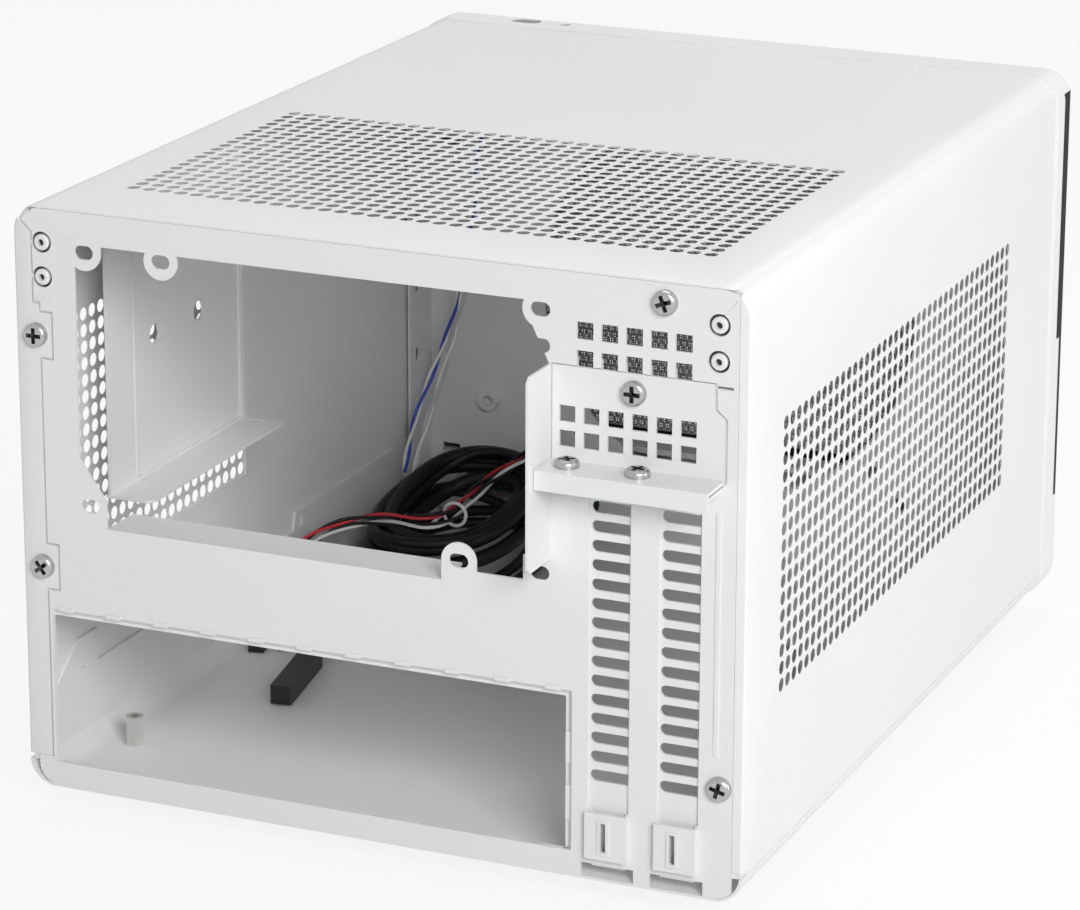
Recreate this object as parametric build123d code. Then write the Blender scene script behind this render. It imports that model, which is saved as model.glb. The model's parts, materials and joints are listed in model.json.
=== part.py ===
from build123d import *
import os
from math import pi, tan, radians

os.makedirs("parts", exist_ok=True)

# Mini-ITX computer case: folded sheet steel with a plastic and mesh front.
# Millimetres. -Y is the front, +Y the back with the connector openings, +Z up.
# The origin is under the middle of the whole outline, level with the soles of the feet.

# Overall sizes
body_width = 220.0
body_height = 173.0
depth = 285.0
bezel_side = 1.0
bezel_depth = 14.5
foot_height = 8.0
sheet = 0.8
corner_radius = 8.0
guard_reach = 15.3

# Clearances
slip = 0.1
seam_gap = 0.6
button_gap = 0.2

# Planes that the pieces share
front_y = -(depth + guard_reach) / 2
rear_y = front_y + depth
seam_y = front_y + bezel_depth
half = body_width / 2
bezel_width = body_width + 2 * bezel_side
floor_z = foot_height
top_z = floor_z + body_height
tray_top = floor_z + sheet

# Split between cover and tray, and the tray's walls inside the cover
split_height = 7.5
tray_wall_height = 25.0
hook_height = 35.0
hook_slope = 13.5
rear_hook = (97.4, 122.4)
front_hook = (-106.6, -29.6)
front_hook_height = 31.0

# Rear flange of the cover, places given as seen from behind:
# u across from the left edge, v up from the underside of the body
flange_left = 7.3
flange_right = 3.0
flange_upper = 5.2
flange_upper_from = body_height - 28.5
flange_end = 9.2
ear_low = body_height - 8.4
screw_tab = 3.8
screw_tab_height = 13.0
left_screws = (body_height - 37.5, 67.0)
right_screws = (33.0,)
cover_screw_left = 6.5
cover_screw_right = 6.8
top_screw = (body_width - 24.0, body_height - 6.1)
rivet_inset = 8.8
rivet_heights = (body_height - 20.6, body_height - 10.6)

# Marks that the corner folds leave on the panel, from (u, v) to (u, v)
fold_lines = (
    (body_width - 12.5, body_height - 13.1, body_width - 4.1, body_height - 3.7),
    (16.6, body_height - 9.4, 19.7, body_height - 7.8),
)

# Power supply opening, standard face of 150 by 86
psu_hole_u = 22.15
psu_hole_v = 86.8
psu_span = 138.0
psu_rise = 74.0
psu_low_span = 114.0
psu_slot = (5.8, 4.0)
psu_lobe = 5.2
psu_edge = 6.0
psu_top = body_height - 10.0
psu_left = 19.0
psu_right = 162.7
psu_ledge_depth = 15.0

# Connector plate opening for the main board, standard 158.75 by 44.45
io_u = 8.73
io_v = 7.57
io_width = 158.75
io_height = 44.45
io_rim = 2.4
io_rim_depth = 1.6
finger_pitch = 15.1
finger_length = 8.6
io_bars = ((16.4, 26.4), (32.9, 42.0))

# Expansion slots
slot_u = 174.5
slot_pitch = 20.32
slot_width = 12.2
slot_low = 21.0
slot_high = 111.0
slot_count = 2
cover_plate_width = 18.4
slot_vent_count = 15
slot_vent_pitch = 5.5
slot_vent_size = (12.6, 3.4)
pocket_height = 14.0
pocket_proud = 1.9
tongue_width = 10.0
tongue_low = 4.0
ledge_v = 117.6
ledge_reach = 11.0
clamp_reach = 12.2
clamp_lip = 5.5
clamp_left = 163.7
clamp_right = 213.2
clamp_top = 146.2
clamp_gap = 0.7
clamp_screw = (187.4, 141.0)
slot_screw_reach = 5.5

# Square vents above the clamp plate and in it
panel_square = 4.8
panel_square_pitch = (7.05, 7.9)
panel_square_place = (clamp_left + 7.0, body_height - 14.3)
clamp_square = 4.6
clamp_square_pitch = 6.95
clamp_square_place = (clamp_left + 2.1, clamp_top - 11.1)

# Vents. One cell of the cover's vent stands for a block of small holes
vent_cell = 20.0
vent_hole = 14.0
vent_border = 18.0
vent_front = 35.0
top_vent_row_count = 5
top_vent_rear = 28.0
side_vent_row_count = 4
right_vent_rear = 25.5
left_vent_column_count = 5
left_vent_rear = 29.5
side_vent_low = 51.5

# Main board supports, standard mini-ITX pattern
board_hole_x = half - 14.3
board_span = 157.48
board_gap = 2.1
board_near = 10.16
board_offset = 22.86
board_far = 154.94
standoff_diameter = 5.0
standoff_top = 9.8
thread_hole = 2.5

# Power supply bracket on the left as seen from behind
bracket_x = half - 11.8
bracket_rear = 28.5
bracket_length = 85.0
bracket_ledge = 14.2
bracket_bottom = 80.0
bracket_step_rear = 15.5
bracket_step_front = 2.6
bracket_crease = 0.9

# Upper side rails
rail_low = body_height - 34.0
rail_flange = 14.0

# Front wall and fan mounting
wall_back = 1.6
wall_return = 18.0
fan_opening = 132.0
fan_hole_span = 124.5
small_fan_span = 105.0
fan_hole = 4.4
fan_centre_v = body_height / 2 + 1.5
wall_boss = (half - 24.4, 43.4)

# Front bezel and mesh
bezel_wall = 2.0
bezel_radius = 9.0
bezel_over = 0.5
bezel_edge = 3.0
clip_x = half - 10.0
clip_heights = (20.0, body_height - 45.0)
mesh_low = 32.0
mesh_high = body_height - 6.0
mesh_step = 86.0
mesh_side_upper = 8.5
mesh_side_lower = 5.5
mesh_sheet = 1.0
mesh_cell = 22.0
mesh_hole = 17.0
mesh_border = 10.0

# Buttons in the top edge of the bezel
power_x = half - 33.0
power_size = (9.9, 5.4)
reset_x = half - 47.0
reset_diameter = 3.0
button_y = front_y + 6.5
button_sunk = 0.4
button_travel = 1.2
button_rim = 1.2
collar_depth = 5.0
collar_wall = 1.4
rim_gap = 0.1

# Switches under the buttons
switch_size = (6.0, 6.0, 3.5)
plunger = (1.6, 0.8)
board_thick = 1.6
switch_board = (half - 53.0, half - 21.0)
header_size = (9.0, 3.0, 7.0)

# Front connectors
port_row_v = 15.0
port_height = 5.8
port_depth = 11.5
port_gap = 0.2
usb_width = 13.2
usb_centres = (half - 20.0, half - 37.0)
jack_width = 7.6
jack_bore = 3.6
jack_nose = 6.2
jack_centres = (half - 52.0, half - 63.0)
led_centres = (half - 74.0, half - 81.0)
led_diameter = 3.0
io_board = (half - 86.0, half - 10.0)
io_socket = (7.0, 5.6)
io_lead_places = (half - 27.0, half - 44.0, half - 52.0, half - 60.0)

# Cables inside
coil_x = 73.0
coil_y = -81.0
coil_length = 80.0
coil_width = 58.0
coil_band = 34.0
coil_height = 28.5
coil_slope = 0.16
usb_cable_diameter = 5.0
audio_cable_diameter = 3.6
lead_diameter = 2.2
lead_x = half - 28.0
tie_place = (60.8, -51.0, 38.8)
tie_radius = 3.8
tie_wire = 1.1
lead_plug = (5.0, 14.0, 2.6)
audio_plug_size = (10.4, 14.5, 5.2)
usb_plug_size = (6.5, 34.0, 6.0)

# Feet
foot_diameter = 18.0
foot_side = 24.0
foot_rear = 42.0
foot_front = 30.0

# Screws and rivets
head_diameter = 7.0
head_height = 2.2
shank_diameter = 3.4
shank_length = 5.0
rivet_seat = 6.1
rivet_diameter = 4.6
rivet_height = 1.3
rivet_core = 2.0
rivet_shank = 3.2
rivet_places = [(u, v) for u in (rivet_inset, body_width - rivet_inset) for v in rivet_heights]


def block(xs, ys, zs):
    # A box from three (low, high) pairs.
    sizes = [high - low for low, high in (xs, ys, zs)]
    middle = [(high + low) / 2 for low, high in (xs, ys, zs)]
    return Pos(*middle) * Box(*sizes)


def across(u0, u1):
    return (half - u1, half - u0)


def up(v0, v1):
    return (floor_z + v0, floor_z + v1)


def inward(d0, d1):
    # Distances in front of the rear face.
    return (rear_y - d1, rear_y - d0)


def rect(u0, u1, v0, v1):
    # A rectangle drawn on the rear face.
    return Pos(half - (u0 + u1) / 2, floor_z + (v0 + v1) / 2) * Rectangle(u1 - u0, v1 - v0)


def spot(u, v):
    return Pos(half - u, floor_z + v)


def run_y(sketch, y0, y1):
    # Pull a drawing of X and Z from y0 to y1.
    plane = Plane(origin=(0, y1, 0), x_dir=(1, 0, 0), z_dir=(0, -1, 0))
    return extrude(plane * sketch, y1 - y0)


def run_z(sketch, z0, z1):
    return extrude(Plane.XY.offset(z0) * sketch, z1 - z0)


def slab(sketch, d0, d1):
    return run_y(sketch, rear_y - d1, rear_y - d0)


def body_outline(inset):
    # The rounded section of the steel body, drawn smaller by inset.
    width = body_width - 2 * inset
    height = body_height - 2 * inset
    return Pos(0, (floor_z + top_z) / 2) * RectangleRounded(width, height, corner_radius - inset)


def shape_at(places):
    # A closed shape through places on the rear face.
    return make_face(Polyline([(half - u, floor_z + v) for u, v in places], close=True))


def screw_tabs(gap):
    # The widened places of the rear flange that carry the cover's screws.
    rise = screw_tab_height / 2 + gap
    reach = flange_left + screw_tab + gap
    return Sketch() + [rect(0, reach, v - rise, v + rise) for v in left_screws]


def flange_window(gap, edge):
    # The field inside the cover's rear flange: a seam of gap down the left side that curls
    # round the upper corner, and a hairline of edge along the top and the right.
    inside = body_outline(sheet + edge)
    right = body_width - flange_right - edge
    window = inside & rect(flange_left + gap, right, flange_end, body_height)
    window += inside & rect(flange_upper + gap, right, flange_upper_from + gap, body_height)
    start = flange_upper + gap
    low = ear_low + gap
    corner = [(start + 0.1, low), (0, low + start), (0, body_height), (start + 0.1, body_height)]
    window += body_outline(sheet + gap) & shape_at(corner)
    return window - screw_tabs(gap)


def psu_places():
    # Centres of the power supply's screws, both ways up.
    left, low = psu_hole_u, psu_hole_v
    right, high = left + psu_span, low + psu_rise
    return {
        "upper_left": (left, high),
        "upper_right": (right, high),
        "lower_left": (left, low),
        "lower_mid": (left + psu_low_span, low),
        "lower_right": (right, low),
        "upper_ring": (left + psu_span - psu_low_span, high),
        "half": (right, high - 10.0),
    }


def psu_opening():
    places = psu_places()
    foot = psu_hole_v - psu_edge - slip
    step = psu_hole_v - 2.6
    ledge_left = psu_left + 8.2
    tab_left = places["lower_mid"][0] - psu_lobe
    opening = rect(psu_left, psu_right, foot, psu_top)
    lower_left = [(psu_left - 1, foot - 1), (ledge_left, foot - 1)]
    lower_left += [(ledge_left, psu_hole_v + 2.0), (psu_left, psu_hole_v + 13.5), (psu_left - 1, psu_hole_v + 13.5)]
    upper_right = [(psu_right, clamp_top), (psu_right - 4.6, psu_top - 7.5), (psu_right - 5.0, psu_top + 1)]
    upper_right += [(psu_right + 1, psu_top + 1), (psu_right + 1, clamp_top)]
    for points in (lower_left, upper_right):
        opening -= shape_at(points)
    opening -= rect(tab_left, psu_right + 1, foot - 1, step)
    opening -= rect(psu_right - 7.4, psu_right + 1, foot - 1, psu_hole_v + 4.6)
    opening -= rect(tab_left, tab_left + 2 * psu_lobe, foot - 1, psu_hole_v)
    for name in ("upper_left", "upper_right", "upper_ring", "lower_mid"):
        opening -= spot(*places[name]) * Circle(psu_lobe)
    opening -= rect(psu_left - 1, places["upper_left"][0] + psu_lobe, places["upper_left"][1], psu_top + 1)
    return opening


def psu_screw_slots():
    slots = [spot(u, v) * SlotOverall(*psu_slot) for u, v in psu_places().values()]
    return Sketch() + slots


def square_row(u, v, size, pitch_u, pitch_v, columns, rows):
    # Square vents hung from their upper left corner.
    cells = []
    for row in range(rows):
        for column in range(columns):
            left = u + column * pitch_u
            top = v - row * pitch_v
            cells.append(rect(left, left + size, top - size, top))
    return Sketch() + cells


def slot_left(index):
    return slot_u + index * slot_pitch


def slot_screw_place(index):
    # On the shelf, in the gap to the left of each cover.
    return Pos(half - slot_left(index) + 4.1, rear_y + slot_screw_reach, floor_z + ledge_v)


def slot_lance(index):
    # The raised pocket below a slot that holds the foot of its cover.
    left = slot_left(index)
    right = left + slot_width
    low = slot_low - pocket_height
    outside = block(across(left, right), inward(-pocket_proud, 0), up(low, slot_low - 0.6))
    inside = block(across(left + sheet, right - sheet), inward(sheet - pocket_proud, 0), up(low + sheet, slot_low))
    face = (-pocket_proud - 0.4, -pocket_proud)
    rim = block(across(left + 4.0, left + 7.2), inward(*face), up(low + 1.6, slot_low - 2.2))
    slit = block(across(left + 4.8, left + 6.4), inward(-3, 0), up(low + 2.4, slot_low - 3.0))
    return outside - inside + rim - slit


def io_fingers():
    # Pressed contact fingers along the connector opening, and two bars on its right rim.
    fingers = []
    top = io_v + io_height + io_rim
    for index in range(11):
        left = io_u + 0.6 + index * finger_pitch
        right = min(left + finger_length, io_u + io_width - 1)
        fingers.append(block(across(left, right), inward(0, 2.4), up(io_v - 1.0, io_v - 0.2)))
        fingers.append(block(across(left + 1.8, left + 6.4), inward(-0.4, 0), up(top - 0.4, top + 0.8)))
    side = io_u + io_width
    for low, high in io_bars:
        fingers.append(block(across(side + 0.3, side + 1.5), inward(0.7, io_rim_depth), up(low, high)))
    return fingers


def io_rim_profile():
    # Section of the rim from the opening's edge outward: a slope inward to a flat lip.
    deep = io_rim_depth
    return [
        (io_rim, 0), (0.9, deep), (0, deep), (0, deep + sheet),
        (1.3, deep + sheet), (io_rim + 0.4, sheet), (io_rim + 0.8, sheet), (io_rim + 0.8, 0),
    ]


def io_frame():
    # The rim along the top and down the right side of the connector opening.
    edge_u = io_u + io_width
    edge_v = io_v + io_height
    upright = [(rear_y - deep, floor_z + edge_v + out) for out, deep in io_rim_profile()]
    face = make_face(Polyline(upright, close=True))
    start = Plane(origin=(half - edge_u - io_rim, 0, 0), x_dir=(0, 1, 0), z_dir=(1, 0, 0))
    top = extrude(start * face, io_width + io_rim + sheet)
    flat = [(half - edge_u - out, rear_y - deep) for out, deep in io_rim_profile()]
    return top + run_z(make_face(Polyline(flat, close=True)), floor_z + io_v, floor_z + edge_v + io_rim)


def clamp_outline(gap, lift):
    # The clamp plate seen from behind, drawn larger by gap at its right and by lift at its top.
    low = ledge_v + 2 * sheet - lift / 3
    left = clamp_left - lift * 2 / 3
    outline = [(left, low), (left, clamp_top + lift), (clamp_right - 3.1 + gap, clamp_top + lift)]
    right = clamp_right + gap
    outline += [(right - 2.9, clamp_top - 7.1), (right, clamp_top - 9.4), (right, low)]
    return shape_at(outline)


def clamp_seat():
    # The pressed back part of the panel that the clamp plate lies in, with a border behind the panel.
    low = ledge_v + 2 * sheet + slip
    right = clamp_right + clamp_gap + 2.6
    first = slot_left(0) + (slot_width - cover_plate_width) / 2 - 3 * slip
    last = slot_left(slot_count - 1) + (slot_width + cover_plate_width) / 2 + 3 * slip
    seat = rect(psu_right, right, low, clamp_top + 2.5)
    return seat + rect(psu_right, first, ledge_v - 6.0, low + 1) + rect(last, right, ledge_v - 6.0, low + 1)


def rear_panel():
    # Flush field inside the cover's flange, stepped back under the flange itself.
    strip = rect(3.2, body_width - 3.2, sheet, flange_end - slip)
    strip = fillet(strip.vertices().group_by(Axis.Y)[0], 5.5)
    field = flange_window(seam_gap, slip) + strip
    foot_row = rect(flange_left + seam_gap, body_width - flange_right - slip, sheet, flange_end + 1)
    field += body_outline(sheet + slip) & foot_row
    backing = body_outline(sheet + 2 * slip)
    backing -= rect(io_u, body_width - flange_right - 1.1, flange_end - 2.0, body_height)
    backing -= rect(0, body_width, -1, flange_end - 2.0)
    backing += [rect(4.0, flange_left + screw_tab + 2 * seam_gap, v - 8.0, v + 8.0) for v in left_screws]
    backing += clamp_seat()
    aperture = rect(io_u, io_u + io_width + io_rim, io_v, io_v + io_height + io_rim)
    holes = psu_opening() + psu_screw_slots() + aperture
    for index in range(slot_count):
        left = slot_left(index)
        holes += rect(left, left + slot_width, slot_low, slot_high)
        holes += rect(left + sheet, left + slot_width - sheet, slot_low - pocket_height + sheet, slot_low)
        holes += rect(left - 1.8, left + slot_width + 1.6, -1, 4.8)
    holes += square_row(*panel_square_place, panel_square, *panel_square_pitch, 5, 2)
    holes += rect(clamp_left + 0.8, clamp_right - 3.0, ledge_v + sheet, clamp_top - 9.0)
    holes += rect(clamp_right - 2.6, clamp_right + 2.2, clamp_top - 1.2, clamp_top - 0.4)
    for u, v in cover_screw_places() + [clamp_screw]:
        holes += spot(u, v) * Circle(shank_diameter / 2)
    seats = clamp_outline(clamp_gap, 3 * slip)
    shanks = Sketch()
    for u, v in rivet_places:
        backing += spot(u, v) * Circle(rivet_seat / 2 + 1.5)
        seats += spot(u, v) * Circle(rivet_seat / 2)
        shanks += spot(u, v) * Circle(rivet_shank / 2)
    panel = slab(field - holes - seats, 0, sheet) + slab(backing - holes - shanks, sheet, 2 * sheet)
    for u0, v0, u1, v1 in fold_lines:
        middle = Pos(half - (u0 + u1) / 2, rear_y, floor_z + (v0 + v1) / 2)
        turn = Vector(u1 - u0, v1 - v0).get_angle(Vector(1, 0))
        panel -= middle * Rot(0, turn, 0) * Box(Vector(u1 - u0, v1 - v0).length, 0.7, 0.5)
    return panel + rear_panel_folds() + io_fingers() + io_frame()


def rear_panel_folds():
    foot = psu_hole_v - psu_edge - slip
    tab_left = psu_places()["lower_mid"][0] - psu_lobe
    upright = up(psu_hole_v + 4.6, clamp_top)
    guard = block(across(psu_right, psu_right + sheet), inward(-guard_reach, 2 * sheet), upright)
    guard = chamfer(guard.edges().filter_by(Axis.X).sort_by(Axis.Y)[-2:], 1.5)
    ledge = block(across(psu_left + 8.2, tab_left - 0.6), inward(0, psu_ledge_depth), up(foot - sheet, foot))
    shelf = block(across(clamp_left, clamp_right), inward(-ledge_reach, sheet), up(ledge_v, ledge_v + sheet))
    for index in range(slot_count):
        shelf -= slot_screw_place(index) * Cylinder(shank_diameter / 2, 6)
    folds = [guard, ledge, shelf]
    for index in range(slot_count):
        folds.append(slot_lance(index))
    ridge_u = slot_u + slot_pitch + slot_width + 4.3
    folds.append(block(across(ridge_u, ridge_u + 1.2), inward(-0.35, 0), up(slot_low + 21, slot_high)))
    folds.append(block(across(6.6, 12.0), inward(-0.3, 0), up(flange_upper_from + 1.1, flange_upper_from + 1.8)))
    return folds


def cover_screw_places():
    places = [(cover_screw_left, v) for v in left_screws]
    places += [(body_width - cover_screw_right, v) for v in right_screws]
    return places + [top_screw]


def outer_cover():
    # One folded sheet: top, two sides and the flange round the back.
    section = body_outline(0) - body_outline(sheet)
    section -= Pos(0, floor_z + split_height / 2) * Rectangle(body_width + 2, split_height)
    cover = run_y(section, seam_y, rear_y)
    flange = body_outline(0) - flange_window(0, 0) - rect(0, body_width, -1, flange_end)
    for u, v in cover_screw_places():
        flange -= spot(u, v) * Circle(shank_diameter / 2)
    cover += slab(flange, 0, sheet)
    across_count = int((body_width - 2 * vent_border) // vent_cell)
    cells = GridLocations(vent_cell, vent_cell, across_count, top_vent_row_count) * Box(vent_hole, vent_hole, 4)
    cover -= Pos(0, rear_y - top_vent_rear - top_vent_row_count * vent_cell / 2, top_z) * Compound(children=cells)
    right_count = int((depth - bezel_depth - right_vent_rear - vent_front) // vent_cell)
    rows = side_vent_row_count
    for side, columns, rear in ((-1, right_count, right_vent_rear), (1, left_vent_column_count, left_vent_rear)):
        cells = GridLocations(vent_cell, vent_cell, rows, columns) * Box(vent_hole, vent_hole, 4)
        middle_z = floor_z + side_vent_low + rows * vent_cell / 2
        wall = Pos(side * half, rear_y - rear - columns * vent_cell / 2, middle_z) * Rot(0, 90, 0)
        cover -= wall * Compound(children=cells)
    return cover


def foot_places():
    x = half - foot_side
    return [(side * x, y) for y in (rear_y - foot_rear, front_y + foot_front) for side in (1, -1)]


def board_places():
    # Mini-ITX screw positions: two near the back, two near the front.
    edge = rear_y - sheet - board_gap
    left = board_hole_x - board_span
    return [
        (board_hole_x, edge - board_near - board_offset),
        (left, edge - board_near),
        (board_hole_x, edge - board_near - board_far),
        (left, edge - board_near - board_far),
    ]


def tray_hook(side, y0, y1, high, slope):
    # A raised part of the tray's side wall with a slanted end and a window.
    outer = half - sheet - slip
    low = tray_wall_height - 1
    points = [(y0, floor_z + low), (y1, floor_z + low), (y1 - slope, floor_z + high), (y0, floor_z + high)]
    face = make_face(Polyline(points, close=True))
    face -= Pos(y1 - slope - 3.5, floor_z + low + 3.2) * Rectangle(2.6, 4.0)
    plate = extrude(Plane(origin=(outer - sheet, 0, 0), x_dir=(0, 1, 0), z_dir=(1, 0, 0)) * face, sheet)
    return plate if side > 0 else mirror(plate, Plane.YZ)


def base_tray():
    # Floor and rounded lower edges, then a step inside the cover to the inner walls.
    section = body_outline(0) - body_outline(sheet)
    section &= Pos(0, floor_z + (split_height - slip) / 2) * Rectangle(body_width + 2, split_height - slip)
    tray = run_y(section, seam_y, rear_y)
    outer = half - sheet - slip
    wall_back_end = rear_y - 2 * sheet
    for side in (1, -1):
        fold = split_height - slip
        wall = block((outer - sheet, outer), (seam_y, wall_back_end), up(fold - sheet, tray_wall_height))
        step = block((outer - sheet, half), (seam_y, wall_back_end), up(fold - sheet, fold))
        for piece in (wall, step):
            tray += piece if side > 0 else mirror(piece, Plane.YZ)
        tray += tray_hook(side, *rear_hook, hook_height, hook_slope)
        tray += tray_hook(side, *front_hook, front_hook_height, 2.0)
        tray -= Pos(side * half, rear_y - 12.5, floor_z + 14.0) * Rot(0, 90, 0) * Cylinder(1.8, 4 * sheet)
    return tray


def front_wall():
    # Inner steel wall behind the bezel, with returns along the sides and fan holes.
    y0 = seam_y + wall_back
    inset = sheet + slip + sheet + slip
    outline = body_outline(inset) + rect(12.0, body_width - 12.0, sheet, 4.0)
    centre = Pos(0, floor_z + fan_centre_v)
    outline -= centre * Circle(fan_opening / 2)
    for span in (fan_hole_span, small_fan_span):
        outline -= centre * GridLocations(span, span, 2, 2) * Circle(fan_hole / 2)
    outline -= Pos(lead_x + 2, top_z - 21.0) * RectangleRounded(18.0, 10.0, 3.0)
    outline -= Pos(lead_x - 12, floor_z + 14.5) * RectangleRounded(50.0, 14.0, 3.0)
    for x in (-clip_x, clip_x):
        for v in clip_heights:
            outline -= Pos(x, floor_z + v) * Rectangle(6.4, 11.8)
    wall = run_y(outline, y0, y0 + sheet)
    boss = Pos(wall_boss[0], y0 + sheet + 1.2, floor_z + wall_boss[1]) * Rot(90, 0, 0)
    wall += boss * (Cylinder(3.4, 2.4) - Cylinder(1.9, 2.4))
    for side in (1, -1):
        column = block((half - inset - sheet, half - inset), (y0, y0 + wall_return), up(12, body_height - 13.0))
        column -= [Pos(half - inset, y0 + 12.0, floor_z + v) * Box(4, 3.0, 4.0) for v in (60, 84, 108, 148)]
        wall += column if side > 0 else mirror(column, Plane.YZ)
    return wall


def side_rail(side):
    # Upper rail between front wall and rear panel, with a riveted tab at the back.
    outer = half - sheet - slip
    front = seam_y + wall_back + sheet
    back = rear_y - 2 * sheet
    height = body_height - sheet - slip
    rail = block((outer - sheet, outer), (front, back), up(rail_low, height - corner_radius + sheet))
    rail += block((outer - rail_flange, outer - corner_radius), (front, back), up(height - sheet, height))
    bend = body_outline(sheet + slip) - body_outline(2 * sheet + slip)
    corner = Pos(outer - corner_radius / 2 + 1, floor_z + height - corner_radius / 2 + 1)
    rail += run_y(bend & corner * Rectangle(corner_radius + 2, corner_radius + 2), front, back)
    rail += block((outer - 14.0, outer), (back - sheet, back), up(rivet_heights[0] - 6.0, height - corner_radius))
    for v in rivet_heights:
        rail -= Pos(half - rivet_inset, back, floor_z + v) * Rot(90, 0, 0) * Cylinder(rivet_shank / 2, 6)
    return rail if side > 0 else mirror(rail, Plane.YZ)


def psu_bracket():
    # Upright plate with a stepped middle field and a ledge under the power supply.
    back = rear_y - bracket_rear
    front = back - bracket_length
    top = body_height - 2 * sheet - slip
    face = bracket_x
    plate = block((face - sheet, face), (front, back), up(bracket_bottom, top))
    field = (front + bracket_step_front, back - bracket_step_rear)
    plate -= block((face - sheet - 1, face + 1), (field[0] + 1, field[1] - 1), up(bracket_bottom + sheet, top - 6))
    plate += block((face, face + sheet), (field[0], field[1]), up(bracket_bottom, top))
    plate += block((face - bracket_ledge, face + sheet), (front, back), up(bracket_bottom - sheet, bracket_bottom))
    plate += block((face, half - sheet - slip - corner_radius), (front, back), up(top - sheet, top))
    for y in (field[1] - 14.0, field[1] - 41.0):
        plate -= Pos(face, y, floor_z + bracket_bottom + 41.0) * Rot(0, 90, 0) * Cylinder(3.0, 6)
    for y in field:
        crease = (y - bracket_crease / 2, y + bracket_crease / 2)
        plate -= block((face - sheet - 1, face - sheet / 2), crease, up(bracket_bottom + sheet, top - 6))
        notch = (bracket_bottom - 2, bracket_bottom + 1)
        plate -= block((face - 8.5, face - sheet - 0.4), (y - 0.4, y + 0.4), up(*notch))
    return fillet(plate.edges().filter_by(Axis.Z).group_by(Axis.X)[0], 3.0)


def slot_clamp():
    # Screwed plate over the slot fixings, folded out to a shelf with a turned down lip.
    low = ledge_v + 2 * sheet
    face = clamp_outline(0, 0)
    face -= square_row(*clamp_square_place, clamp_square, clamp_square_pitch, clamp_square_pitch, 6, 2)
    face -= spot(*clamp_screw) * Circle(shank_diameter / 2)
    shelf = block(across(clamp_left, clamp_right), inward(-clamp_reach, sheet), up(low, low + sheet))
    for index in range(slot_count):
        shelf -= slot_screw_place(index) * Cylinder(shank_diameter / 2, 6)
    lip = inward(-clamp_reach, -clamp_reach + sheet)
    lip = block(across(clamp_left, clamp_right), lip, up(low + sheet - clamp_lip, low + sheet))
    return slab(face, 0, sheet) + shelf + lip


def slot_cover(index):
    # Vented blank bracket with a tab on the shelf and a tongue in the pocket below.
    middle = slot_left(index) + slot_width / 2
    plate = rect(middle - cover_plate_width / 2, middle + cover_plate_width / 2, slot_low - 6.0, ledge_v + 2 * sheet)
    plate += rect(middle - tongue_width / 2, middle + tongue_width / 2, tongue_low, slot_low)
    for row in range(slot_vent_count):
        v = slot_high - 3.4 - row * slot_vent_pitch
        plate -= spot(middle + 0.8, v) * SlotOverall(*slot_vent_size)
    cover = slab(plate, sheet, 2 * sheet)
    tab = block(
        across(middle - cover_plate_width / 2, middle + cover_plate_width / 2),
        inward(-ledge_reach, 2 * sheet),
        up(ledge_v + sheet, ledge_v + 2 * sheet),
    )
    for neighbour in (index, index + 1):
        tab -= slot_screw_place(neighbour) * Cylinder(shank_diameter / 2, 6)
    return cover + tab


def bezel_outline(inset):
    width = bezel_width - 2 * inset
    height = body_height + 2 * (bezel_over - inset)
    return Pos(0, (floor_z + top_z) / 2) * RectangleRounded(width, height, bezel_radius - inset)


def button_cores(gap):
    # Sections of the two buttons seen from above.
    power = Pos(power_x, button_y) * SlotOverall(power_size[0] + 2 * gap, power_size[1] + 2 * gap)
    reset = Pos(reset_x, button_y) * Circle(reset_diameter / 2 + gap)
    return power, reset


bezel_top = top_z + bezel_over
collar_end = bezel_top - bezel_wall - collar_depth
switch_top = collar_end - rim_gap - button_rim - button_travel - rim_gap
switch_board_top = switch_top - plunger[1] - switch_size[2]
io_board_v = port_row_v - port_height / 2
wall_front = seam_y + wall_back
socket_back = wall_front + 2.6
header_back = button_y + 6.0


def bezel_clip(side, v):
    # Snap arm that goes through a slot of the front wall.
    x = side * clip_x
    arm = block((x - 2.8, x + 2.8), (seam_y - 5, wall_front + sheet + 2.5), up(v - 3, v + 3))
    barb = block((x - 2.8, x + 2.8), (wall_front + sheet + slip, wall_front + sheet + 2.5), up(v - 5.5, v - 2.9))
    bridge = block((min(x, side * half), max(x, side * half)), (seam_y - 5, seam_y - 2), up(v - 3, v + 3))
    return arm + barb + bridge


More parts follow.
